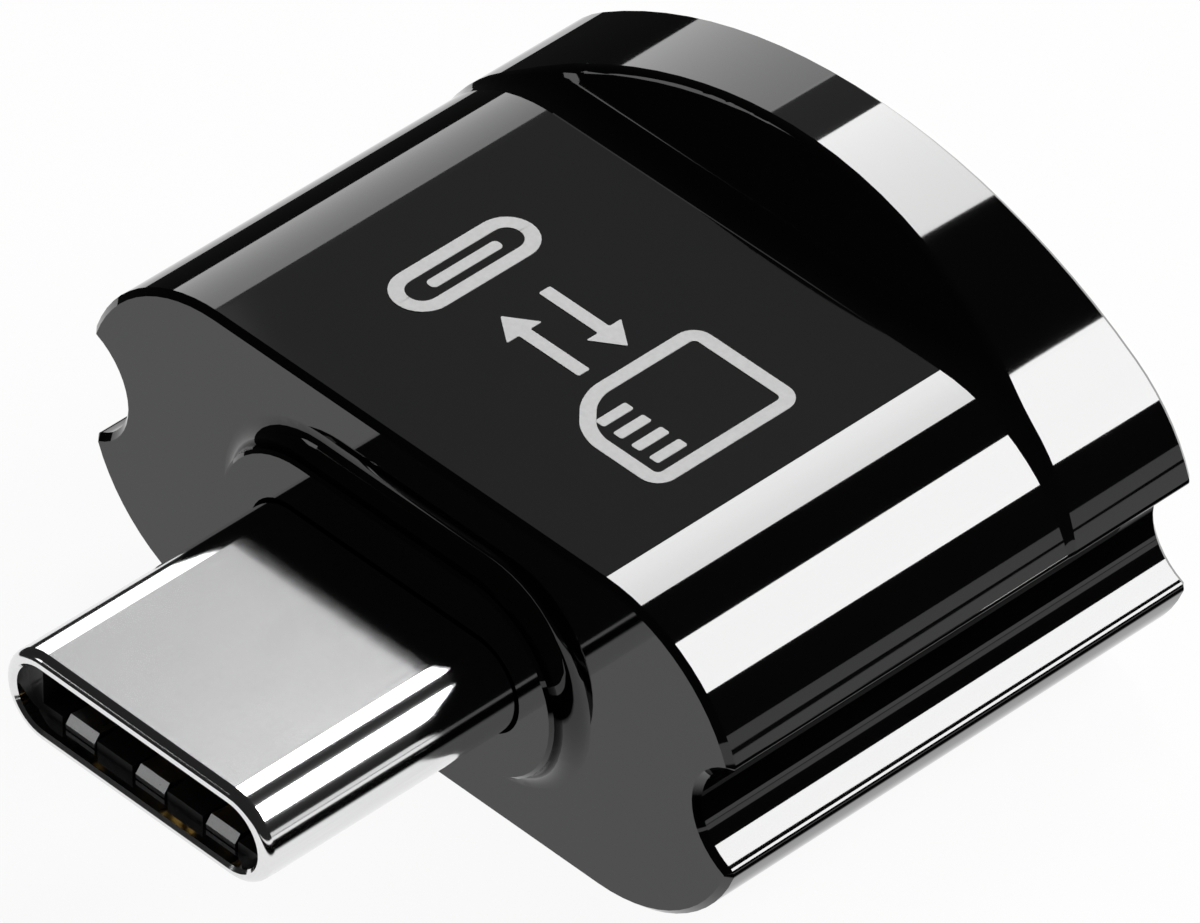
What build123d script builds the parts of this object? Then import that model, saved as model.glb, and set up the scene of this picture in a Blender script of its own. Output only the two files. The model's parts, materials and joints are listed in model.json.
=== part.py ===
# A small memory card reader: a black moulded housing with a reversible plug at the front
# and a card slot at the rear. X is across, Y runs from the plug to the card slot, Z is up.
# The origin is on the underside, in the middle of the whole length. Sizes are in millimetres.
import math
import os

from build123d import *

os.makedirs("parts", exist_ok=True)

# Card and the socket that takes it
card_width = 11.0
card_gap = 0.1              # clearance on each side of the card
card_room = 0.95            # height of the space for the card
rail_width = 1.0            # side rail of the socket base
base_thickness = 0.5        # floor of the socket base
stop_thickness = 0.5        # wall that stops the card
stop_clearance = 0.05       # from the shell ears up to the stop wall
stop_gap = 0.25             # from the plug shell to the stop wall
floor_gap = 0.4             # from the contact tails to the floor
floor_edge = 0.5            # from the front of the floor to the contact slots
sheet = 0.15                # folded sheet of the socket cover
sheet_margin = 0.6          # bare base in front of and behind the socket cover
tongue_width = 2.2          # hold-down tongues cut in the socket cover
tongue_length = 3.0
tongue_cut = 0.35           # width of the cut round a tongue
tongue_spread = 6.0         # distance between the two tongues

# Card contacts
card_contact_count = 8
card_contact_pitch = 1.1
card_contact_width = 0.5
card_contact_thickness = 0.15
card_contact_room = 0.12    # clearance on each side of a contact in its slot
card_contact_length = 4.8   # from the free end to the end of the soldered tail
card_contact_tail = 0.9
card_contact_lift = 0.25    # height of the crest above the socket floor
card_contact_tip = 0.6      # from the crest to the free end

# Card detect spring
detect_length = 2.2
detect_foot = 0.5
detect_thickness = 0.12
detect_height = 1.1
detect_room = 0.1           # clearance round the spring in its pocket

# Circuit board
board_thickness = 0.8
board_gap = 0.15            # clearance from the board to the side of the housing
board_rear_gap = 0.2        # from the board to the rear cover
board_corner = 0.4

# Plug
plug_width = 8.25
plug_height = 2.4
plug_reach = 7.9            # front face of the housing to the tip of the plug
shell_wall = 0.35
lip_round = 0.25            # outside of the rolled front lip
lip_inner_break = 0.08      # chamfer round the mouth of the shell
shell_inside = 0.8          # length of the shell behind the front wall
ear_length = 1.4            # shell ears that are soldered into the board
ear_height = 1.4
ear_gap = 0.05              # clearance round an ear in the board
mouth_setback = 0.45        # tip of the plug to the insulator
insulator_length = 6.7
mating_width = 6.7          # slot that takes the socket's tongue
mating_depth = 5.2
contact_pitch = 0.5
contact_width = 0.28
contact_thickness = 0.15
contact_setback = 1.5       # tip of the plug to the free ends of the contacts
contact_crest = 0.5         # from the free end to the crest of a contact
contact_arm = 1.2           # from the crest to the straight part
contact_dip = 0.18          # how far the crest leans into the slot
contact_tip_dip = 0.05      # the same for the free end
tail_length = 1.5           # contact tail on the board
upper_places = (-5.5, -2.5, -1.5, -0.5, 0.5, 2.5, 5.5)
lower_places = (-5.5, -2.5, 1.5, 2.5, 5.5)
latch_thickness = 0.2
latch_arm = 0.25
latch_hook = 0.2
latch_hook_length = 0.6
latch_setback = 0.6         # front of the insulator to the latch
latch_bridge = 0.8
spring_thickness = 0.12
spring_bar_width = 5.6
spring_bar_length = 0.7
spring_finger_width = 0.9
spring_finger_length = 1.9
spring_finger_pitch = 2.2
spring_finger_dip = 0.23
spring_finger_curl = 0.16   # length of the curled end of a finger
spring_curl_rise = 0.2
spring_window_gap = 0.1     # clearance on each side of a finger

# Housing, outside
body_length = 13.88         # front face to rear face
body_height = 8.7           # underside to flat top
shoulder_radius = 4.2
groove_depth = 1.25         # from the plain side to the floor of the finger groove
groove_radius = 1.5
lobe_round = 0.17           # edges along the finger grooves
edge_break = 0.15           # chamfer round the front and rear faces
hump_rise = 2.05            # flat top to the crown of the arched band
band_step = 0.01            # how far the band stands out at the sides
band_spread = 0.3           # the band's shoulders have a radius this much larger
band_length = 3.2           # foot of the ramp to the rear face
ramp_angle = 65.0
ramp_root = 1.0             # how far the ramp is let into the body
cove_radius = 1.0           # hollow round at the foot of the ramp
crest_round = 0.25          # edge between the ramp and the arched band
boss_width = 10.4
boss_height = 5.1
boss_rise = 0.65
boss_flare = 0.52           # hollow round at the foot of the boss
boss_edge_break = 0.08

# Housing, inside
front_wall = 1.2
side_wall = 1.15
top_wall = 1.2
floor_wall = 1.2
cavity_corner = 1.5
ledge_width = 0.8           # ledge under each side of the board
ledge_root = 0.2            # how far a ledge is let into the wall
plug_gap = 0.08             # clearance round the plug in the front wall

# Rear cover
cover_depth = 1.0
cover_lip = 0.4             # seat of the cover in the housing
cover_gap = 0.05
cover_edge = 0.1            # small chamfer round the cover
slot_gap = 0.1              # clearance of the card slot beyond the card space
slot_lead_in = 0.3
arm_gap = 0.2               # from the socket cover to an arm of the rear cover
arm_width = 0.7
arm_height = 1.5
arm_length = 6.0
arm_side_gap = 0.15         # from an arm to the side of the housing

# Controller chip and small components under the board
chip_length = 4.9
chip_width = 3.9
chip_height = 1.3
chip_standoff = 0.1
chip_dimple = 0.35          # radius of the mark beside the first lead
chip_dimple_depth = 0.05
chip_dimple_inset = 0.7     # from the edges of the chip to the middle of the mark
lead_count = 8
lead_pitch = 0.6
lead_width = 0.24
lead_thickness = 0.15
lead_reach = 1.0            # from the side of the chip to the end of a lead
lead_foot = 0.55
lead_knee = 0.3             # from the side of the chip to the bend
lead_slope = 0.15
capacitor_size = (1.6, 0.8, 0.8)
resistor_size = (1.0, 0.5, 0.35)
part_row_gap = 0.8          # from the leads to the rows of small components
part_pitch = 2.2
capacitor_count = 4
resistor_count = 3

# Room for the modelling itself
tolerance = 1e-3
largest_share = 0.98        # most of its wall that a round may take

# Places along Y
y_tip = -(plug_reach + body_length) / 2
y_front = y_tip + plug_reach
y_rear = y_front + body_length
y_wall = y_front + front_wall
y_seat = y_rear - cover_depth
y_board_front = y_wall + shell_inside
y_board_rear = y_seat - board_rear_gap
y_ramp = y_rear - band_length
y_insulator = y_tip + mouth_setback
y_carrier = y_insulator + insulator_length
y_mating_end = y_insulator + mating_depth
y_tail_end = y_board_front + tail_length

# Places along Z
z_mid = body_height / 2
z_board_top = z_mid + board_thickness / 2
z_board_under = z_mid - board_thickness / 2
z_card_floor = z_board_top + base_thickness
z_card_top = z_card_floor + card_room
z_ceiling = body_height - top_wall

# Half widths across X, from the card outwards
rail_inside = card_width / 2 + card_gap
rail_outside = rail_inside + rail_width
arm_inside = rail_outside + sheet + arm_gap
arm_outside = arm_inside + arm_width
cavity_half = arm_outside + arm_side_gap
block_half = cavity_half + side_wall + groove_depth

# Outline of the housing
corner_radius = min(shoulder_radius, largest_share * body_height / 2)
shoulder_z = body_height - corner_radius
corner_x = block_half - corner_radius
groove_x = block_half - groove_depth + groove_radius
crown_z = body_height + hump_rise
band_radius = corner_radius + band_spread
band_x = block_half + band_step - band_radius
crown_drop = shoulder_z - crown_z
arch_radius = (band_radius**2 - band_x**2 - crown_drop**2) / (2 * (crown_drop + band_radius))
arch_z = crown_z - arch_radius
tangent_angle = math.degrees(math.atan2(shoulder_z - arch_z, band_x))
cavity_height = z_ceiling - floor_wall
cavity_z = (z_ceiling + floor_wall) / 2


def section_plane(y):
    """Plane across the part at y: local x is X, local y is Z, and it faces the plug."""
    return Plane(origin=(0, y, 0), x_dir=(1, 0, 0), z_dir=(0, -1, 0))


def side_plane(x):
    """Plane along the part at x: local x is Y and local y is Z."""
    return Plane(origin=(x, 0, 0), x_dir=(0, 1, 0), z_dir=(1, 0, 0))


def block(x_range, y_range, z_range, mode=Mode.ADD):
    """A box between two limits each way."""
    ranges = (x_range, y_range, z_range)
    with Locations(tuple((low + high) / 2 for low, high in ranges)):
        Box(*(high - low for low, high in ranges), mode=mode)


def save(builder, name):
    """Label a finished piece and write it as a STEP file."""
    builder.part.label = name
    export_step(builder.part, f"parts/{name}.step")


# Profile of the ramp, which climbs at an even slope from the body to beyond the arched band
ramp_slope = math.tan(math.radians(ramp_angle))
y_ramp_start = y_ramp - ramp_root / ramp_slope
y_ramp_end = y_ramp + (hump_rise + ramp_root) / ramp_slope
with BuildSketch(side_plane(0)) as ramp_profile:
    with BuildLine():
        Polyline(
            (y_ramp_start, shoulder_z),
            (y_ramp_start, body_height - ramp_root),
            (y_ramp_end, crown_z + ramp_root),
            (y_rear, crown_z + ramp_root),
            (y_rear, shoulder_z),
            close=True,
        )
    make_face()

# The ramp by itself: its profile across the flat top, and turned over both shoulders
with BuildPart() as ramp:
    extrude(ramp_profile.sketch, amount=corner_x, both=True)
    for side in (-1, 1):
        shoulder_axis = Axis((side * corner_x, 0, shoulder_z), (0, side, 0))
        revolve(Pos(X=side * corner_x) * ramp_profile.sketch, axis=shoulder_axis, revolution_arc=90)

# Outline of the arched band: a wide arch that runs out into the sides over two shoulders
with BuildSketch() as band_section:
    with BuildLine():
        right = CenterArc((band_x, shoulder_z), band_radius, 0, tangent_angle)
        CenterArc((0, arch_z), arch_radius, tangent_angle, 180 - 2 * tangent_angle)
        left = CenterArc((-band_x, shoulder_z), band_radius, 180 - tangent_angle, tangent_angle)
        Line(left @ 1, right @ 0)
    make_face()

# Housing: a moulded body, open at the rear
with BuildPart() as housing:
    # Plain bar with round shoulders
    with BuildSketch(section_plane(y_front)):
        with Locations((0, z_mid)):
            RectangleRounded(2 * block_half, body_height, corner_radius)
    extrude(amount=-body_length)
    # Ramp that rises from it, with a cove all round its foot
    add(ramp.part)
    foot = housing.edges().filter_by_position(Axis.Y, y_ramp - tolerance, y_ramp + tolerance)
    fillet(foot, cove_radius)
    # Only what lies under the arched band stays, and its crest is rounded
    with BuildSketch(section_plane(y_front)):
        add(band_section.sketch)
        with Locations((0, z_mid)):
            RectangleRounded(2 * block_half, body_height, corner_radius)
    extrude(amount=-body_length, mode=Mode.INTERSECT)
    arched = housing.faces().filter_by(GeomType.CYLINDER).filter_by(
        lambda face: min(abs(face.radius - arch_radius), abs(face.radius - band_radius)) < tolerance)
    crest = arched.edges().filter_by(GeomType.LINE, reverse=True).filter_by_position(
        Axis.Y, y_ramp - cove_radius, y_rear - tolerance)
    fillet(crest, crest_round)
    # Finger groove along each side
    with BuildSketch(section_plane(y_front)):
        with Locations((groove_x, z_mid), (-groove_x, z_mid)):
            Circle(groove_radius)
    extrude(amount=-body_length, mode=Mode.SUBTRACT)
    walls = housing.faces().filter_by(GeomType.CYLINDER)
    grooves = walls.sort_by(lambda face: abs(face.center().Z - z_mid))[:2]
    lobes = grooves.edges().filter_by_position(
        Axis.Y, y_front + tolerance, y_rear - tolerance, inclusive=(False, False))
    fillet(lobes, lobe_round)
    chamfer(housing.faces().sort_by(Axis.Y)[0].edges(), edge_break)
    chamfer(housing.faces().sort_by(Axis.Y)[-1].edges(), edge_break)
    # Flared boss round the plug
    with BuildSketch(section_plane(y_front)):
        with Locations((0, z_mid)):
            SlotOverall(boss_width, boss_height)
    extrude(amount=boss_rise)
    front_face = housing.faces().filter_by(Plane.XZ).filter_by_position(
        Axis.Y, y_front - tolerance, y_front + tolerance)[0]
    fillet(front_face.inner_wires()[0].edges(), boss_flare)
    chamfer(housing.faces().sort_by(Axis.Y)[0].edges(), boss_edge_break)
    # Cavity, seat for the rear cover and hole for the plug
    with BuildSketch(section_plane(y_rear)):
        with Locations((0, cavity_z)):
            RectangleRounded(2 * cavity_half, cavity_height, cavity_corner)
    extrude(amount=body_length - front_wall, mode=Mode.SUBTRACT)
    with BuildSketch(section_plane(y_rear)):
        with Locations((0, cavity_z)):
            RectangleRounded(
                2 * (cavity_half + cover_lip), cavity_height + 2 * cover_lip, cavity_corner + cover_lip)
    extrude(amount=cover_depth, mode=Mode.SUBTRACT)
    with BuildSketch(section_plane(y_wall)):
        with Locations((0, z_mid)):
            SlotOverall(plug_width + 2 * plug_gap, plug_height + 2 * plug_gap)
    extrude(amount=front_wall + boss_rise, mode=Mode.SUBTRACT)
    # Ledges that carry the board
    for side in (-1, 1):
        x_ledge = sorted((side * (cavity_half - ledge_width), side * (cavity_half + ledge_root)))
        block(x_ledge, (y_wall - ledge_root, y_seat), (floor_wall - ledge_root, z_board_under))
save(housing, "housing")

# Rear cover: a plate in the housing's rear seat, with the card slot and two arms over the board
with BuildPart() as rear_cover:
    with BuildSketch(section_plane(y_rear)):
        with Locations((0, cavity_z)):
            RectangleRounded(
                2 * (cavity_half + cover_lip - cover_gap),
                cavity_height + 2 * (cover_lip - cover_gap),
                cavity_corner + cover_lip - cover_gap,
            )
    extrude(amount=cover_depth)
    chamfer(rear_cover.faces().sort_by(Axis.Y)[-1].edges(), cover_edge)
    for side in (-1, 1):
        x_arm = sorted((side * arm_inside, side * arm_outside))
        block(x_arm, (y_seat - arm_length, y_seat), (z_board_top, z_board_top + arm_height))
    with BuildSketch(section_plane(y_rear)):
        with Locations((0, (z_card_floor + z_card_top) / 2)):
            RectangleRounded(2 * (rail_inside + slot_gap), card_room + 2 * slot_gap, slot_gap)
    extrude(amount=cover_depth, mode=Mode.SUBTRACT)
    rim = rear_cover.faces().sort_by(Axis.Y)[-1].inner_wires()[0].edges()
    chamfer(rim, slot_lead_in)
save(rear_cover, "rear_cover")

# Plug shell: a drawn tube with a rolled lip and two ears at the back
with BuildPart() as plug_shell:
    with BuildSketch(section_plane(y_tip)):
        with Locations((0, z_mid)):
            SlotOverall(plug_width, plug_height)
            SlotOverall(plug_width - 2 * shell_wall, plug_height - 2 * shell_wall, mode=Mode.SUBTRACT)
    extrude(amount=-(y_board_front - y_tip))
    fillet(plug_shell.faces().sort_by(Axis.Y)[0].outer_wire().edges(), lip_round)
    chamfer(plug_shell.faces().sort_by(Axis.Y)[0].inner_wires()[0].edges(), lip_inner_break)
    for side in (-1, 1):
        x_ear = sorted((side * (plug_width / 2 - shell_wall), side * plug_width / 2))
        z_ear = (z_mid - ear_height / 2, z_mid + ear_height / 2)
        block(x_ear, (y_board_front - shell_wall, y_board_front + ear_length), z_ear)
save(plug_shell, "plug_shell")


def row_side(row):
    """Sign of a row of contacts along Z."""
    return 1 if row == "upper" else -1


def contact_tunnels(y_range):
    """Openings for both rows of contacts through a moulding of the plug."""
    for row, places in contact_rows.items():
        low = row_side(row) * board_thickness / 2
        high = row_side(row) * (board_thickness / 2 + contact_thickness)
        for place in places:
            x = place * contact_pitch
            x_range = (x - contact_width / 2, x + contact_width / 2)
            block(x_range, y_range, sorted((z_mid + low, z_mid + high)), mode=Mode.SUBTRACT)


contact_rows = {"upper": upper_places, "lower": lower_places}
mating_half = board_thickness / 2 + contact_thickness
inner_width = plug_width - 2 * shell_wall
inner_height = plug_height - 2 * shell_wall
y_latch = y_insulator + latch_setback
y_latch_end = y_mating_end + latch_bridge
y_bar = y_insulator + spring_finger_length
latch_half = mating_width / 2
z_spring = inner_height / 2 - spring_thickness

# Insulator of the plug: fills the shell behind the lip, with the mating slot and spring windows
with BuildPart() as plug_insulator:
    with BuildSketch(section_plane(y_insulator)):
        with Locations((0, z_mid)):
            SlotOverall(inner_width, inner_height)
    extrude(amount=-insulator_length)
    z_mating = (z_mid - mating_half, z_mid + mating_half)
    block((-latch_half, latch_half), (y_insulator, y_mating_end), z_mating, mode=Mode.SUBTRACT)
    z_latch = (z_mid - latch_thickness / 2, z_mid + latch_thickness / 2)
    block((-latch_half, latch_half), (y_mating_end, y_latch_end), z_latch, mode=Mode.SUBTRACT)
    contact_tunnels((y_mating_end, y_carrier))
    window_half = spring_finger_width / 2 + spring_window_gap
    for sign in (-1, 1):
        z_wall = sorted((z_mid, z_mid + sign * inner_height))
        for place in (-1, 0, 1):
            x = place * spring_finger_pitch
            x_window = (x - window_half, x + window_half)
            block(x_window, (y_insulator, y_bar), z_wall, mode=Mode.SUBTRACT)
        z_bar = sorted((z_mid + sign * z_spring, z_mid + sign * inner_height))
        x_bar = (-spring_bar_width / 2, spring_bar_width / 2)
        block(x_bar, (y_bar, y_bar + spring_bar_length), z_bar, mode=Mode.SUBTRACT)
save(plug_insulator, "plug_insulator")

# Carrier behind the insulator: holds the contact tails
with BuildPart() as plug_carrier:
    with BuildSketch(section_plane(y_carrier)):
        with Locations((0, z_mid)):
            SlotOverall(inner_width, inner_height)
    extrude(amount=-(y_board_front - y_carrier))
    contact_tunnels((y_carrier, y_board_front))
save(plug_carrier, "plug_carrier")

# Contacts of the plug: a sprung crest inside the mating slot, a straight shank and a soldered tail
z_shank = board_thickness / 2
for row, places in contact_rows.items():
    sign = row_side(row)
    for number, place in enumerate(places, 1):
        with BuildPart() as plug_contact:
            with BuildSketch(side_plane(place * contact_pitch)):
                y_end = y_tip + contact_setback
                y_crest = y_end + contact_crest
                y_shank = y_crest + contact_arm
                z_tip = z_shank - contact_tip_dip
                under = [
                    (y_end, z_tip),
                    (y_crest, z_shank - contact_dip),
                    (y_shank, z_shank),
                    (y_tail_end, z_shank),
                ]
                over = [(y, z + contact_thickness) for y, z in reversed(under)]
                with BuildLine():
                    Polyline(*((y, z_mid + sign * z) for y, z in under + over), close=True)
                make_face()
            extrude(amount=contact_width / 2, both=True)
        save(plug_contact, f"plug_contact_{row}_{number}")

# Latch plate: two hooked arms beside the mating slot, joined behind it
with BuildPart() as plug_latch:
    block((-latch_half, latch_half), (y_mating_end, y_latch_end), z_latch)
    for side in (-1, 1):
        x_arm = sorted((side * (latch_half - latch_arm), side * latch_half))
        block(x_arm, (y_latch, y_mating_end), z_latch)
        with BuildSketch(Plane.XY.offset(z_latch[0])):
            x_inside = side * (latch_half - latch_arm)
            with BuildLine():
                Polyline(
                    (x_inside, y_latch),
                    (x_inside - side * latch_hook, y_latch + latch_hook_length / 2),
                    (x_inside, y_latch + latch_hook_length),
                    close=True,
                )
            make_face()
        extrude(amount=latch_thickness)
save(plug_latch, "plug_latch")

# Ground springs: a bar between insulator and shell with three fingers that lean into the mouth
for row in contact_rows:
    sign = row_side(row)
    with BuildPart() as ground_spring:
        z_bar = sorted((z_mid + sign * z_spring, z_mid + sign * inner_height / 2))
        x_bar = (-spring_bar_width / 2, spring_bar_width / 2)
        block(x_bar, (y_bar, y_bar + spring_bar_length), z_bar)
        y_low = y_insulator + spring_finger_curl
        for place in (-1, 0, 1):
            with BuildSketch(side_plane(place * spring_finger_pitch)):
                under = [
                    (y_insulator, z_spring - spring_finger_dip + spring_curl_rise),
                    (y_low, z_spring - spring_finger_dip),
                    (y_bar, z_spring),
                ]
                over = [(y, z + spring_thickness) for y, z in reversed(under)]
                with BuildLine():
                    Polyline(*((y, z_mid + sign * z) for y, z in under + over), close=True)
                make_face()
            extrude(amount=spring_finger_width / 2, both=True)
    save(ground_spring, f"ground_spring_{row}")

# Circuit board, notched at the front for the ears of the shell
board_half = cavity_half - board_gap
with BuildPart() as circuit_board:
    z_board = (z_board_under, z_board_top)
    block((-board_half, board_half), (y_board_front, y_board_rear), z_board)
    fillet(circuit_board.edges().filter_by(Axis.Z), board_corner)
    for side in (-1, 1):
        x_notch = sorted(
            (side * (plug_width / 2 - shell_wall - ear_gap), side * (plug_width / 2 + ear_gap)))
        y_notch = (y_board_front, y_board_front + ear_length + ear_gap)
        block(x_notch, y_notch, z_board, mode=Mode.SUBTRACT)
save(circuit_board, "circuit_board")

# Card socket base: floor, side rails and a stop wall that reaches over the contact tails
y_stop = y_board_front + stop_gap
y_floor = y_tail_end + floor_gap
y_socket_rear = y_board_rear
z_overhang = z_mid + ear_height / 2 + stop_clearance
y_card_end = y_stop + stop_thickness
y_contact = y_floor + floor_edge
y_contact_end = y_contact + card_contact_length
slot_half = card_contact_width / 2 + card_contact_room
x_contacts = [
    (index - (card_contact_count - 1) / 2) * card_contact_pitch for index in range(card_contact_count)]
y_detect = y_contact
x_detect = -(rail_inside + detect_room)
with BuildPart() as card_socket_base:
    x_base = (-rail_outside, rail_outside)
    block(x_base, (y_floor, y_socket_rear), (z_board_top, z_card_floor))
    block(x_base, (y_stop, y_card_end), (z_overhang, z_card_top))
    for side in (-1, 1):
        x_rail = sorted((side * rail_inside, side * rail_outside))
        block(x_rail, (y_stop, y_socket_rear), (z_overhang, z_card_top))
        block(x_rail, (y_floor, y_socket_rear), (z_board_top, z_card_top))
    for x in x_contacts:
        x_slot = (x - slot_half, x + slot_half)
        y_slot = (y_contact - card_contact_room, y_contact_end + card_contact_room)
        block(x_slot, y_slot, (z_board_top, z_card_floor), mode=Mode.SUBTRACT)
    x_pocket = (x_detect - detect_foot - detect_room, -rail_inside)
    y_pocket = (y_detect - detect_room, y_detect + detect_length + detect_room)
    block(x_pocket, y_pocket, (z_board_top, z_card_top), mode=Mode.SUBTRACT)
save(card_socket_base, "card_socket_base")

# Card contacts: a tail on the board and an arm that rises through the floor to a crest
for number, x in enumerate(x_contacts, 1):
    with BuildPart() as card_contact:
        with BuildSketch(side_plane(x)):
            y_tail = y_contact_end - card_contact_tail
            y_crest = y_contact + card_contact_tip
            under = [
                (y_contact, z_card_floor - card_contact_thickness),
                (y_crest, z_card_floor + card_contact_lift - card_contact_thickness),
                (y_tail, z_board_top),
                (y_contact_end, z_board_top),
            ]
            over = [(y, z + card_contact_thickness) for y, z in reversed(under)]
            with BuildLine():
                Polyline(*under, *over, close=True)
            make_face()
        extrude(amount=card_contact_width / 2, both=True)
    save(card_contact, f"card_contact_{number}")

# Card detect spring: a foot on the board and a leaf beside the card
with BuildPart() as card_detect_spring:
    x_leaf = (x_detect - detect_thickness, x_detect)
    y_leaf = (y_detect, y_detect + detect_length)
    block(x_leaf, y_leaf, (z_board_top, z_board_top + detect_height))
    x_foot = (x_detect - detect_foot, x_detect)
    y_foot = (y_detect + detect_length / 2, y_detect + detect_length)
    block(x_foot, y_foot, (z_board_top, z_board_top + detect_thickness))
save(card_detect_spring, "card_detect_spring")

# Card socket cover: folded sheet over the rails, with two hold-down tongues
with BuildPart() as card_socket_cover:
    sheet_half = rail_outside + sheet
    y_sheet = (y_floor + sheet_margin, y_socket_rear - sheet_margin)
    block((-sheet_half, sheet_half), y_sheet, (z_board_top, z_card_top + sheet))
    block((-rail_outside, rail_outside), y_sheet, (z_board_top, z_card_top), mode=Mode.SUBTRACT)
    folds = card_socket_cover.edges().filter_by(Axis.Y).group_by(Axis.Z)[-1]
    fillet(folds, largest_share * sheet)
    z_sheet = (z_card_top, z_card_top + sheet)
    y_tongue = (y_sheet[0] + y_sheet[1]) / 2
    for side in (-1, 1):
        x_tongue = side * tongue_spread / 2
        cut_half = tongue_width / 2 + tongue_cut
        x_cut = (x_tongue - cut_half, x_tongue + cut_half)
        y_cut = (y_tongue - tongue_length / 2, y_tongue + tongue_length / 2)
        block(x_cut, y_cut, z_sheet, mode=Mode.SUBTRACT)
        x_keep = (x_tongue - tongue_width / 2, x_tongue + tongue_width / 2)
        block(x_keep, (y_cut[0] + tongue_cut, y_cut[1]), z_sheet)
save(card_socket_cover, "card_socket_cover")

# Controller chip under the board, with a mark beside its first lead
y_chip = (y_tail_end + y_board_rear) / 2
z_chip_top = z_board_under - chip_standoff
with BuildPart() as controller_chip:
    x_chip = (-chip_length / 2, chip_length / 2)
    y_body = (y_chip - chip_width / 2, y_chip + chip_width / 2)
    block(x_chip, y_body, (z_chip_top - chip_height, z_chip_top))
    with Locations((x_chip[0] + chip_dimple_inset, y_body[0] + chip_dimple_inset, z_chip_top - chip_height)):
        Cylinder(chip_dimple, 2 * chip_dimple_depth, mode=Mode.SUBTRACT)
save(controller_chip, "controller_chip")

# Leads of the chip: gull wings down each side, in one lead frame
with BuildPart() as controller_leads:
    z_lead = z_chip_top - (chip_height + lead_thickness) / 2
    y_side = chip_width / 2
    profile = [
        (y_side, z_lead),
        (y_side + lead_knee, z_lead),
        (y_side + lead_knee + lead_slope, z_board_under - lead_thickness),
        (y_side + lead_reach, z_board_under - lead_thickness),
        (y_side + lead_reach, z_board_under),
        (y_side + lead_reach - lead_foot, z_board_under),
        (y_side + lead_knee - lead_slope, z_lead + lead_thickness),
        (y_side, z_lead + lead_thickness),
    ]
    for index in range(lead_count):
        x = (index - (lead_count - 1) / 2) * lead_pitch
        for side in (-1, 1):
            with BuildSketch(side_plane(x)):
                with BuildLine():
                    Polyline(*((y_chip + side * y, z) for y, z in profile), close=True)
                make_face()
            extrude(amount=lead_width / 2, both=True)
save(controller_leads, "controller_leads")


def small_part(size, x, y):
    """A chip component soldered under the board, its long side along X."""
    length, width, height = size
    x_range = (x - length / 2, x + length / 2)
    y_range = (y - width / 2, y + width / 2)
    block(x_range, y_range, (z_board_under - height, z_board_under))


# Small components in two rows, one on each side of the chip
y_row = chip_width / 2 + lead_reach + part_row_gap
for kind, count, size, side in (
    ("capacitor", capacitor_count, capacitor_size, 1),
    ("resistor", resistor_count, resistor_size, -1),
):
    for index in range(count):
        with BuildPart() as component:
            small_part(size, (index - (count - 1) / 2) * part_pitch, y_chip + side * y_row)
        save(component, f"{kind}_{index + 1}")
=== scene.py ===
# %% [markdown]
# # A small card reader, finished for the camera
# The reader is a short black moulding with a metal plug at the front and a card slot at the rear.
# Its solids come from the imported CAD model, so this lesson only gives them their finishes, adds the
# print on the flat top, and sets up a studio around them. Everything is in metres, in the CAD frame:
# X is across, Y runs from the plug to the card slot, and Z is up from the table.

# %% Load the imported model
import json
import math

import bmesh
import bpy
from mathutils import Matrix, Vector


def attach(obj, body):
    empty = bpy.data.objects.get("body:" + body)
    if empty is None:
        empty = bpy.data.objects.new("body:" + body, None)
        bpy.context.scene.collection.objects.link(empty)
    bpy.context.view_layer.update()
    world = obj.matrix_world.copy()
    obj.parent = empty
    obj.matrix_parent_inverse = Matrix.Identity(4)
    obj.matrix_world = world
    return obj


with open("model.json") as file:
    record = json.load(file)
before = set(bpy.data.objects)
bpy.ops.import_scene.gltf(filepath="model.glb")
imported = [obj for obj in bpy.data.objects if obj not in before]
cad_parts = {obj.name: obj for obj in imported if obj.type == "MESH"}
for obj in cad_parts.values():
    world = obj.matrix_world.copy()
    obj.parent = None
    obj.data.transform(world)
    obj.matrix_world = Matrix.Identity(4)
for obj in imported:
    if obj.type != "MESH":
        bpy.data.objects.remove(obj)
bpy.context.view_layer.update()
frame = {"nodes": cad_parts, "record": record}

MM = 0.001
scene = bpy.context.scene
scene.view_settings.view_transform = "Standard"


# %% [markdown]
# ## The camera
# The reader was photographed from the front right and well above, with a long lens, so its edges stay
# almost parallel. A camera can be placed by hand, but it is easier to trust if it is worked out: an aim
# point in the body, two angles, a distance, and a slight roll about the line of sight.

# %% Place the camera
camera_aim = Vector((-0.493, 3.256, 4.35)) * MM
camera_distance = 325.04 * MM
camera_azimuth = math.radians(45.76)
camera_elevation = math.radians(40.20)
camera_roll = math.radians(-0.59)
camera_lens = 450.0
nearest_shown = 10 * MM
farthest_shown = 10.0

level_share = math.cos(camera_elevation)
sight = Vector((
    -math.sin(camera_azimuth) * level_share,
    math.cos(camera_azimuth) * level_share,
    -math.sin(camera_elevation),
))
level_right = sight.cross(Vector((0, 0, 1))).normalized()
level_up = level_right.cross(sight)
picture_right = level_right * math.cos(camera_roll) - level_up * math.sin(camera_roll)
picture_up = level_right * math.sin(camera_roll) + level_up * math.cos(camera_roll)

camera_data = bpy.data.cameras.new("camera")
camera_data.lens = camera_lens
camera_data.sensor_fit = "HORIZONTAL"
camera_data.clip_start = nearest_shown
camera_data.clip_end = farthest_shown
camera = bpy.data.objects.new("camera", camera_data)
scene.collection.objects.link(camera)
turn = Matrix((picture_right, picture_up, -sight)).transposed()
camera.matrix_world = Matrix.Translation(camera_aim - sight * camera_distance) @ turn.to_4x4()
scene.camera = camera
print("camera looks along", [round(c, 3) for c in sight])

# %% [markdown]
# ## Colours and nodes
# Colours are written the way a picture editor shows them, as sRGB hex, and Blender mixes light in
# linear values, so one function converts them. Another adds a shader node, sets its inputs and links it,
# which keeps every material below to a few readable lines.


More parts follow.
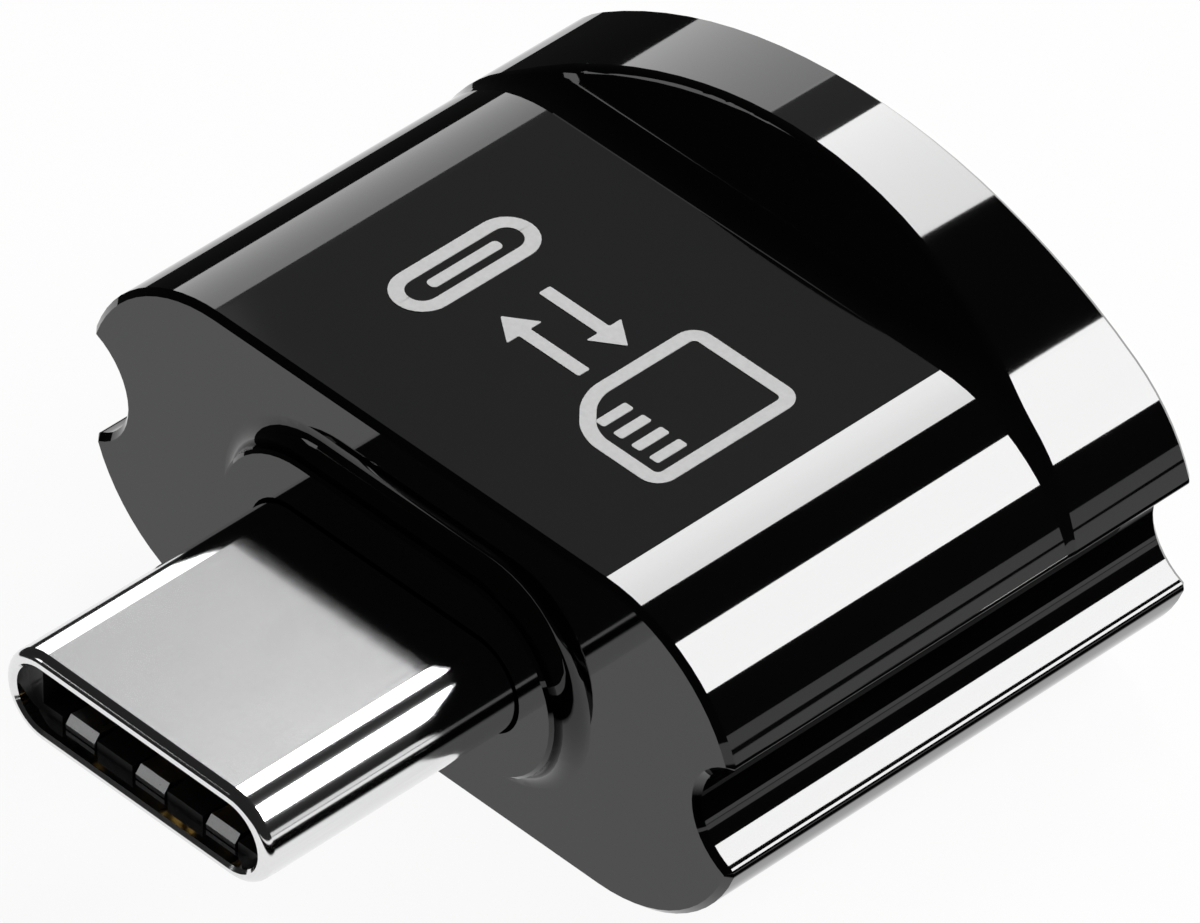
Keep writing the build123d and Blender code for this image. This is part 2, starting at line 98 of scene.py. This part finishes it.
# %% Helpers for materials
def linear(code):
    """Linear red, green, blue and alpha of an sRGB hex colour."""
    parts = [int(code[i:i + 2], 16) / 255 for i in (1, 3, 5)]
    return [c / 12.92 if c <= 0.04045 else ((c + 0.055) / 1.055) ** 2.4 for c in parts] + [1.0]


def add_node(tree, kind, settings=None, **inputs):
    """A node of that kind. settings are its properties; inputs are values, or output sockets to link."""
    node = tree.nodes.new(kind)
    for name, value in (settings or {}).items():
        setattr(node, name, value)
    for name, value in inputs.items():
        key = int(name[1:]) if name[0] == "_" else name.replace("_", " ")
        socket = node.inputs[key]
        if isinstance(value, bpy.types.NodeSocket):
            tree.links.new(value, socket)
        else:
            socket.default_value = value
    return node


print("mid grey #808080 is", round(linear("#808080")[0], 3), "in linear light")

# %% [markdown]
# Most materials here start alike: an empty node tree, coordinates for the patterns, and a colour that
# wanders between a darker and a paler tone. Three short functions do that, and another multiplies two
# values, which is how one pattern is limited by another.


# %% Helpers for trees
def new_material(name):
    """An empty node material with its tree, and the coordinates that its patterns read."""
    material = bpy.data.materials.new(name)
    material.use_nodes = True
    tree = material.node_tree
    tree.nodes.clear()
    place = add_node(tree, "ShaderNodeTexCoord").outputs["Object"]
    return material, tree, place


def use_shader(tree, shader):
    """Link a shader to the material's output."""
    add_node(tree, "ShaderNodeOutputMaterial", Surface=shader.outputs[0])


def two_tone(tree, pattern, dark, pale):
    """A colour that follows a pattern from a dark to a pale tone."""
    tint = add_node(tree, "ShaderNodeValToRGB", Fac=pattern)
    tint.color_ramp.elements[0].color = linear(dark)
    tint.color_ramp.elements[1].color = linear(pale)
    return tint.outputs["Color"]


def product(tree, first, second):
    """The product of two values."""
    node = add_node(tree, "ShaderNodeMath", {"operation": "MULTIPLY"}, _0=first, _1=second)
    return node.outputs[0]


print("helpers ready")

# %% [markdown]
# ## The table
# A gloss black body is drawn by what it mirrors, so the table matters: the front face shows it as an even
# dark grey. It is a round sheet of matt white board. The sheet lies off to the right and ends just
# outside the picture on the left, so the left flank and the ramp mirror no board and stay black.

# %% Lay the white board
board_middle = Vector((82, 8, -0.01)) * MM
board_radius = 112 * MM
board_corners = 128

board_mesh = bpy.data.meshes.new("white_board")
shape = bmesh.new()
bmesh.ops.create_circle(shape, cap_ends=True, segments=board_corners, radius=board_radius)
bmesh.ops.translate(shape, verts=shape.verts, vec=board_middle)
shape.to_mesh(board_mesh)
shape.free()
white_board = bpy.data.objects.new("white_board", board_mesh)
scene.collection.objects.link(white_board)
print("board radius in mm:", round(board_radius / MM))

# %% [markdown]
# Part of the board's white is its own glow, which only the camera and mirrored rays see: the board looks
# clean, keeps a soft shadow, and throws no extra light on the reader. For mirrored rays alone, the
# board's right part is painted near black. This is painted shade in its reflection, and no card lies
# there. It keeps the foot of the plug, its boss and the lower right flank dark.

# %% White board and painted shade for mirrored rays
board_fibre = 3.0 * MM
board_glow = 0.94
# Where along X the painted shade starts, how softly it starts, and where it ends; only mirrored rays see
# it
mirrored_shade_edge = 10.3 * MM
mirrored_shade_blur = 1.5 * MM
mirrored_shade_far_edge = 34 * MM


def seen_by_eye(tree, rays):
    """One for rays from the camera, from mirrors and through glass, and zero for the rays that light."""
    total = add_node(
        tree, "ShaderNodeMath", {"operation": "ADD"},
        _0=rays.outputs["Is Camera Ray"], _1=rays.outputs["Is Glossy Ray"])
    total = add_node(
        tree, "ShaderNodeMath", {"operation": "ADD", "use_clamp": True},
        _0=total.outputs[0], _1=rays.outputs["Is Transmission Ray"])
    return total.outputs[0]


material, tree, place = new_material("matt_white_board")
rays = add_node(tree, "ShaderNodeLightPath")
fibre = add_node(tree, "ShaderNodeTexNoise", Vector=place, Scale=1 / board_fibre, Detail=3.0)
paper = add_node(
    tree, "ShaderNodeBsdfDiffuse", Color=two_tone(tree, fibre.outputs["Fac"], "#F8F8F8", "#FBFBFB"))
glow = add_node(tree, "ShaderNodeEmission", Color=linear("#FFFFFF"), Strength=1.0)
sheet = add_node(
    tree, "ShaderNodeMixShader", _0=product(tree, seen_by_eye(tree, rays), board_glow),
    _1=paper.outputs[0], _2=glow.outputs[0])

x_place = add_node(tree, "ShaderNodeSeparateXYZ", Vector=place).outputs["X"]
past_edge = add_node(
    tree, "ShaderNodeMapRange", Value=x_place,
    From_Min=mirrored_shade_edge, From_Max=mirrored_shade_edge + mirrored_shade_blur)
before_far_edge = add_node(
    tree, "ShaderNodeMath", {"operation": "LESS_THAN"}, _0=x_place, _1=mirrored_shade_far_edge)
in_mirrored_shade = product(tree, past_edge.outputs[0], before_far_edge.outputs[0])
# The painted shade: a near-black sheet in place of the board, seen only by mirrored rays
painted_mirror_shade = add_node(tree, "ShaderNodeBsdfDiffuse", Color=linear("#040404"))
table = add_node(
    tree, "ShaderNodeMixShader", _0=product(tree, in_mirrored_shade, rays.outputs["Is Glossy Ray"]),
    _1=sheet.outputs[0], _2=painted_mirror_shade.outputs[0])
use_shader(tree, table)
board_mesh.materials.append(material)
print("made", material.name)

# %% [markdown]
# ## The studio light
# The shoulders, the arched band and the plug are all round about lines along Y. Seen from this camera
# they mirror one curve across the room. Three long softboxes hung on that curve draw the white and grey
# strips along the body, and the dark between them keeps the rest black. Three dim cards on the same curve
# lift the flat top, the top of the plug and the lower right flank from black to grey. Each one is given
# by two angles across the curve in degrees, two limits along Y and its brightness.

# %% Hang the softboxes
lamp_distance = 600 * MM
softboxes = {
    "softbox_top": (-36.5, -9.5, 0.475, 0.600, 15.0),
    "softbox_right": (20.5, 54.0, 0.475, 0.600, 21.0),
    "softbox_left": (-82.0, -48.5, 0.475, 0.600, 2.5),
    "card_for_flat_top": (-48.5, -36.5, 0.509, 0.600, 0.27),
    "card_for_plug": (-48.5, -36.5, 0.450, 0.509, 0.57),
    "card_for_flank": (81.5, 90.0, 0.475, 0.600, 0.9),
}


def hang_lamp(name, direction, along, width, depth, radiance):
    """A rectangular area lamp that faces the reader, with its width along one direction."""
    data = bpy.data.lights.new(name, "AREA")
    data.shape = "RECTANGLE"
    data.size = width
    data.size_y = depth
    data.energy = radiance * math.pi * width * depth
    lamp = bpy.data.objects.new(name, data)
    scene.collection.objects.link(lamp)
    axes = Matrix((along, direction.cross(along), direction)).transposed()
    lamp.matrix_world = Matrix.Translation(direction * lamp_distance) @ axes.to_4x4()
    print(name, "size in mm:", round(width / MM), "x", round(depth / MM), "radiance:", radiance)


for name, (start, end, near, far, radiance) in softboxes.items():
    angle = math.radians((start + end) / 2)
    rise = (math.asin(near) + math.asin(far)) / 2
    reach = math.cos(rise)
    direction = Vector((reach * math.sin(angle), math.sin(rise), reach * math.cos(angle)))
    along = Vector((math.cos(angle), 0, -math.sin(angle)))
    width = 2 * lamp_distance * reach * math.tan(math.radians((end - start) / 2))
    depth = 2 * lamp_distance * math.tan((math.asin(far) - math.asin(near)) / 2)
    hang_lamp(name, direction, along, width, depth, radiance)

# %% [markdown]
# Two more lamps stay out of those mirror images. A large softbox behind lights the table and the print,
# and a low strip on the left sends a little light into the mouth of the plug, where it glints on the
# ground springs. Each one is given by its direction, two sizes in millimetres and its brightness.

# %% Hang the fill lamps
fill_lamps = {
    "softbox_rear": ((0.05, 0.82, 0.57), 420, 300, 4.0),
    "strip_for_mouth": ((-0.641, -0.692, 0.331), 94, 125, 2.0),
}
for name, (way, width, depth, radiance) in fill_lamps.items():
    direction = Vector(way).normalized()
    along = direction.cross(Vector((0, 0, 1))).normalized()
    hang_lamp(name, direction, along, width * MM, depth * MM, radiance)

# %% [markdown]
# The room is dark, so the polished faces that look at it stay black. To the camera its walls are white,
# which only matters in views from lower down, where the board ends.

# %% Darken the room
room_light = 0.02
world = bpy.data.worlds.new("dark_room")
world.use_nodes = True
scene.world = world
tree = world.node_tree
tree.nodes.clear()
rays = add_node(tree, "ShaderNodeLightPath")
brightness = add_node(
    tree, "ShaderNodeMapRange", Value=rays.outputs["Is Camera Ray"], To_Min=room_light, To_Max=1.0)
room = add_node(
    tree, "ShaderNodeBackground", Color=linear("#FFFFFF"), Strength=brightness.outputs[0])
add_node(tree, "ShaderNodeOutputWorld", Surface=room.outputs[0])
print("room light:", room_light)

# %% [markdown]
# ## Gloss black moulding
# The housing is black ABS from a polished mould. Next to no light comes back from inside it: what the
# eye sees is a thin mirror with an index of about 1.5. The mirror is crisp, with a faint waviness where
# the plastic shrank and slightly duller where it has been handled.

# %% Gloss black ABS
plastic_index = 1.5
shrink_wave = 2.5 * MM
shrink_depth = 0.0015 * MM
shrink_strength = 0.3
handling_patch = 4.0 * MM
polished, handled = 0.02, 0.05

gloss_black_abs, tree, place = new_material("gloss_black_abs")
wave = add_node(tree, "ShaderNodeTexNoise", Vector=place, Scale=1 / shrink_wave, Detail=1.0)
patch = add_node(tree, "ShaderNodeTexNoise", Vector=place, Scale=1 / handling_patch, Detail=4.0)
dull = add_node(
    tree, "ShaderNodeMapRange", Value=patch.outputs["Fac"], To_Min=polished, To_Max=handled)
relief = add_node(
    tree, "ShaderNodeBump", Height=wave.outputs["Fac"], Strength=shrink_strength, Distance=shrink_depth)
gloss = add_node(
    tree, "ShaderNodeBsdfPrincipled",
    Base_Color=two_tone(tree, patch.outputs["Fac"], "#030303", "#050505"),
    Roughness=dull.outputs[0], IOR=plastic_index, Normal=relief.outputs["Normal"])
use_shader(tree, gloss)
print("made", gloss_black_abs.name)

# %% [markdown]
# ## Grained mouldings and ceramics
# The rear cover and the socket inside come from plainer moulds, spark-eroded to a fine matt grain. The
# grain is a noise of about a tenth of a millimetre, drawn as bump and as a spread of roughness. The chip
# and the small ceramic parts take the same recipe in other colours.

# %% Satin and matt surfaces
grain_share = 0.1
grain_strength = 0.25
roughness_spread = 0.06


def grained_plastic(name, dark, pale, grain, roughness):
    """A moulded plastic or ceramic with an even grain."""
    material, tree, place = new_material(name)
    noise = add_node(tree, "ShaderNodeTexNoise", Vector=place, Scale=1 / grain, Detail=2.0)
    spread = add_node(
        tree, "ShaderNodeMapRange", Value=noise.outputs["Fac"],
        To_Min=roughness - roughness_spread, To_Max=roughness + roughness_spread)
    relief = add_node(
        tree, "ShaderNodeBump", Height=noise.outputs["Fac"], Strength=grain_strength,
        Distance=grain_share * grain)
    body = add_node(
        tree, "ShaderNodeBsdfPrincipled", Base_Color=two_tone(tree, noise.outputs["Fac"], dark, pale),
        Roughness=spread.outputs[0], IOR=plastic_index, Normal=relief.outputs["Normal"])
    use_shader(tree, body)
    print("made", name)
    return material


satin_black_abs = grained_plastic("satin_black_abs", "#070707", "#0C0C0C", 0.12 * MM, 0.32)
black_nylon = grained_plastic("glass_filled_black_nylon", "#060606", "#0D0D0D", 0.08 * MM, 0.5)
chip_epoxy = grained_plastic("chip_epoxy", "#151516", "#202022", 0.06 * MM, 0.62)
tan_ceramic = grained_plastic("tan_ceramic", "#8C6E4C", "#A3835F", 0.05 * MM, 0.45)
dark_ceramic = grained_plastic("glazed_dark_ceramic", "#14161C", "#22252E", 0.05 * MM, 0.3)

# %% [markdown]
# ## Metals
# The shell of the plug is stainless steel, drawn into a tube and nickel plated, so fine lines run along
# it. The springs are plain stainless strip, the contacts are gold plated, and the socket's cover is
# matt tin. All are bare metals: the same recipe, with a colour, a gloss and lines of a given spacing.

# %% Drawn and plated metals
line_stretch = 50
smoother, rougher = 0.8, 1.2


def drawn_metal(name, dark, pale, line, roughness):
    """A bare metal whose fine lines run along Y."""
    material, tree, place = new_material(name)
    stretch = add_node(
        tree, "ShaderNodeMapping", Vector=place, Scale=(1 / line, 1 / (line_stretch * line), 1 / line))
    lines = add_node(tree, "ShaderNodeTexNoise", Vector=stretch.outputs[0], Scale=1.0, Detail=3.0)
    spread = add_node(
        tree, "ShaderNodeMapRange", Value=lines.outputs["Fac"],
        To_Min=smoother * roughness, To_Max=rougher * roughness)
    metal = add_node(
        tree, "ShaderNodeBsdfPrincipled", Base_Color=two_tone(tree, lines.outputs["Fac"], dark, pale),
        Metallic=1.0, Roughness=spread.outputs[0])
    use_shader(tree, metal)
    print("made", name)
    return material


nickel_shell = drawn_metal("drawn_nickel_plate", "#DEDEDF", "#E8E8E8", 0.05 * MM, 0.1)
stainless_strip = drawn_metal("stainless_strip", "#B9BABB", "#CFCFCE", 0.06 * MM, 0.3)
gold_plate = drawn_metal("gold_plate", "#D9A94E", "#E8BE6A", 0.08 * MM, 0.2)
matt_tin = drawn_metal("matt_tin", "#B4B5B6", "#C8C8C8", 0.15 * MM, 0.42)

# %% [markdown]
# ## The circuit board
# The board is glass cloth in epoxy under a green solder mask. The weave shows faintly through the mask
# as a grid of half a millimetre, made by two crossed bands. Blender's wave texture repeats every 0.31
# units at a scale of 1, so that length over the thread's gives the scale.

# %% Solder mask over glass cloth
cloth_thread = 0.5 * MM
wave_repeat = 0.31
mask_index = 1.52
mask_roughness = 0.3

green_mask, tree, place = new_material("green_solder_mask")
threads = [
    add_node(
        tree, "ShaderNodeTexWave", {"bands_direction": axis}, Vector=place,
        Scale=wave_repeat / cloth_thread).outputs["Fac"]
    for axis in ("X", "Y")
]
weave = product(tree, threads[0], threads[1])
mask = add_node(
    tree, "ShaderNodeBsdfPrincipled", Base_Color=two_tone(tree, weave, "#0C3A22", "#11492C"),
    Roughness=mask_roughness, IOR=mask_index)
use_shader(tree, mask)
print("made", green_mask.name)

# %% [markdown]
# ## Give every solid its finish
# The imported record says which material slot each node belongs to, so one table from slot to finish
# dresses all of them.

# %% Dress the CAD nodes
finishes = {
    "black_housing": gloss_black_abs,
    "black_cover": satin_black_abs,
    "bright_shell": nickel_shell,
    "black_insulator": black_nylon,
    "spring_steel": stainless_strip,
    "gold_contact": gold_plate,
    "board": green_mask,
    "tin_sheet": matt_tin,
    "chip_moulding": chip_epoxy,
    "tan_ceramic": tan_ceramic,
    "dark_ceramic": dark_ceramic,
}
for part in frame["record"]["subparts"]:
    mesh = frame["nodes"][part["node"]].data
    mesh.materials.clear()
    mesh.materials.append(finishes[part["material_slot"]])

# %% [markdown]
# ## The print on the flat top
# A pale sign is pad-printed on the flat top: a card, two arrows and the mouth of the plug. Each mark
# starts as a flat polygon, has its corners rounded by a vertex bevel, and is hollowed by an inset where
# it is an outline. The sign's own sizes are in millimetres.

# %% Tools for flat marks
line_width = 0.36
corner_segments = 8
sign = bmesh.new()


def flat_mark(corners, rounding, hollow=False):
    """A flat polygon with round corners, in the sign's own millimetres, or its outline."""
    older = set(sign.faces)
    spots = [sign.verts.new((x * MM, y * MM, 0)) for x, y in corners]
    sign.faces.new(spots)
    bmesh.ops.bevel(
        sign, geom=spots, offset=rounding * MM, offset_type="OFFSET", affect="VERTICES",
        segments=corner_segments, profile=0.5, material=-1)
    mark = [face for face in sign.faces if face not in older]
    if hollow:
        bmesh.ops.inset_region(
            sign, faces=mark, thickness=line_width * MM, use_boundary=True, use_even_offset=True)
        bmesh.ops.delete(sign, geom=mark, context="FACES_ONLY")


def box_corners(x, y, width, height):
    """Corners of an upright rectangle about a point."""
    return [
        (x - width / 2, y - height / 2), (x + width / 2, y - height / 2),
        (x + width / 2, y + height / 2), (x - width / 2, y + height / 2),
    ]


print("print lines in mm:", line_width)

# %% [markdown]
# The card has one cut corner and four short bars for its contacts. Its corners are rounder than its line
# is wide, so the inset keeps an even line round them.

# %% Draw the card
card_x, card_width, card_height, card_cut, card_rounding = -3.0, 3.4, 4.4, 1.0, 0.5
left, right = card_x - card_width / 2, card_x + card_width / 2
low, high = -card_height / 2, card_height / 2
card_outline = [
    (left, low), (right, low), (right, high - card_cut), (right - card_cut, high), (left, high)]
flat_mark(card_outline, card_rounding, hollow=True)

bar_count, bar_start, bar_pitch, bar_y = 4, card_x - 0.95, 0.55, 1.15
bar_width, bar_height, bar_rounding = 0.28, 0.9, 0.06
for index in range(bar_count):
    flat_mark(box_corners(bar_start + bar_pitch * index, bar_y, bar_width, bar_height), bar_rounding)
print("faces so far:", len(sign.faces))

# %% [markdown]
# The arrows are one polygon each, so that no seam shows where the head meets the shaft. The mouth of the
# plug is a long ring with a bar in it.

# %% Draw the arrows and the mouth of the plug
arrow_x, arrow_y, arrow_half, arrow_head = 0.45, 0.65, 1.3, 0.75
head_half, shaft_half, arrow_rounding = 0.52, 0.17, 0.05
for side in (-1, 1):
    y = arrow_y * side
    tail = arrow_x - side * arrow_half
    neck = arrow_x + side * (arrow_half - arrow_head)
    tip = arrow_x + side * arrow_half
    flat_mark([
        (tail, y - shaft_half), (neck, y - shaft_half), (neck, y - head_half), (tip, y),
        (neck, y + head_half), (neck, y + shaft_half), (tail, y + shaft_half)], arrow_rounding)

mouth_x, mouth_width, mouth_height, mouth_rounding = 3.55, 1.5, 4.0, 0.74
tongue_width, tongue_height, tongue_rounding = 0.3, 2.1, 0.12
flat_mark(box_corners(mouth_x, 0.0, mouth_width, mouth_height), mouth_rounding, hollow=True)
flat_mark(box_corners(mouth_x, 0.0, tongue_width, tongue_height), tongue_rounding)
print("faces in the sign:", len(sign.faces))

# %% [markdown]
# The sign reads from the card's side, so it is turned half round, with its upper edge to the plug. It is
# set on the flat top and given the thickness of a coat of ink.

# %% Place the sign
ink_thickness = 0.015 * MM
sign_y = 2.1 * MM
housing = frame["nodes"]["housing"].data
flat_top = max(v.co.z for v in housing.vertices if v.co.y < 0)

bmesh.ops.rotate(sign, verts=sign.verts, cent=(0, 0, 0), matrix=Matrix.Rotation(math.pi, 3, "Z"))
bmesh.ops.translate(sign, verts=sign.verts, vec=(0, sign_y, flat_top))
sign.normal_update()
bmesh.ops.reverse_faces(sign, faces=[face for face in sign.faces if face.normal.z < 0])
raised = bmesh.ops.extrude_face_region(sign, geom=sign.faces[:], use_keep_orig=True)
lifted = [item for item in raised["geom"] if isinstance(item, bmesh.types.BMVert)]
bmesh.ops.translate(sign, verts=lifted, vec=(0, 0, ink_thickness))
bmesh.ops.recalc_face_normals(sign, faces=sign.faces)
print_mesh = bpy.data.meshes.new("top_print")
sign.to_mesh(print_mesh)
sign.free()
top_print = bpy.data.objects.new("top_print", print_mesh)
scene.collection.objects.link(top_print)
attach(top_print, "root")
print("print faces:", len(print_mesh.polygons))

# %% [markdown]
# The ink is a pale grey with a fine grit, a little duller than the plastic below it.

# %% Ink the sign
ink_grit = 0.12 * MM
ink_roughness = 0.5
ink_index = 1.48
material, tree, place = new_material("pale_pad_print_ink")
grit = add_node(tree, "ShaderNodeTexNoise", Vector=place, Scale=1 / ink_grit, Detail=3.0)
ink = add_node(
    tree, "ShaderNodeBsdfPrincipled",
    Base_Color=two_tone(tree, grit.outputs["Fac"], "#C6C6C6", "#DCDCDC"),
    Roughness=ink_roughness, IOR=ink_index)
use_shader(tree, ink)
print_mesh.materials.append(material)
print("made", material.name)
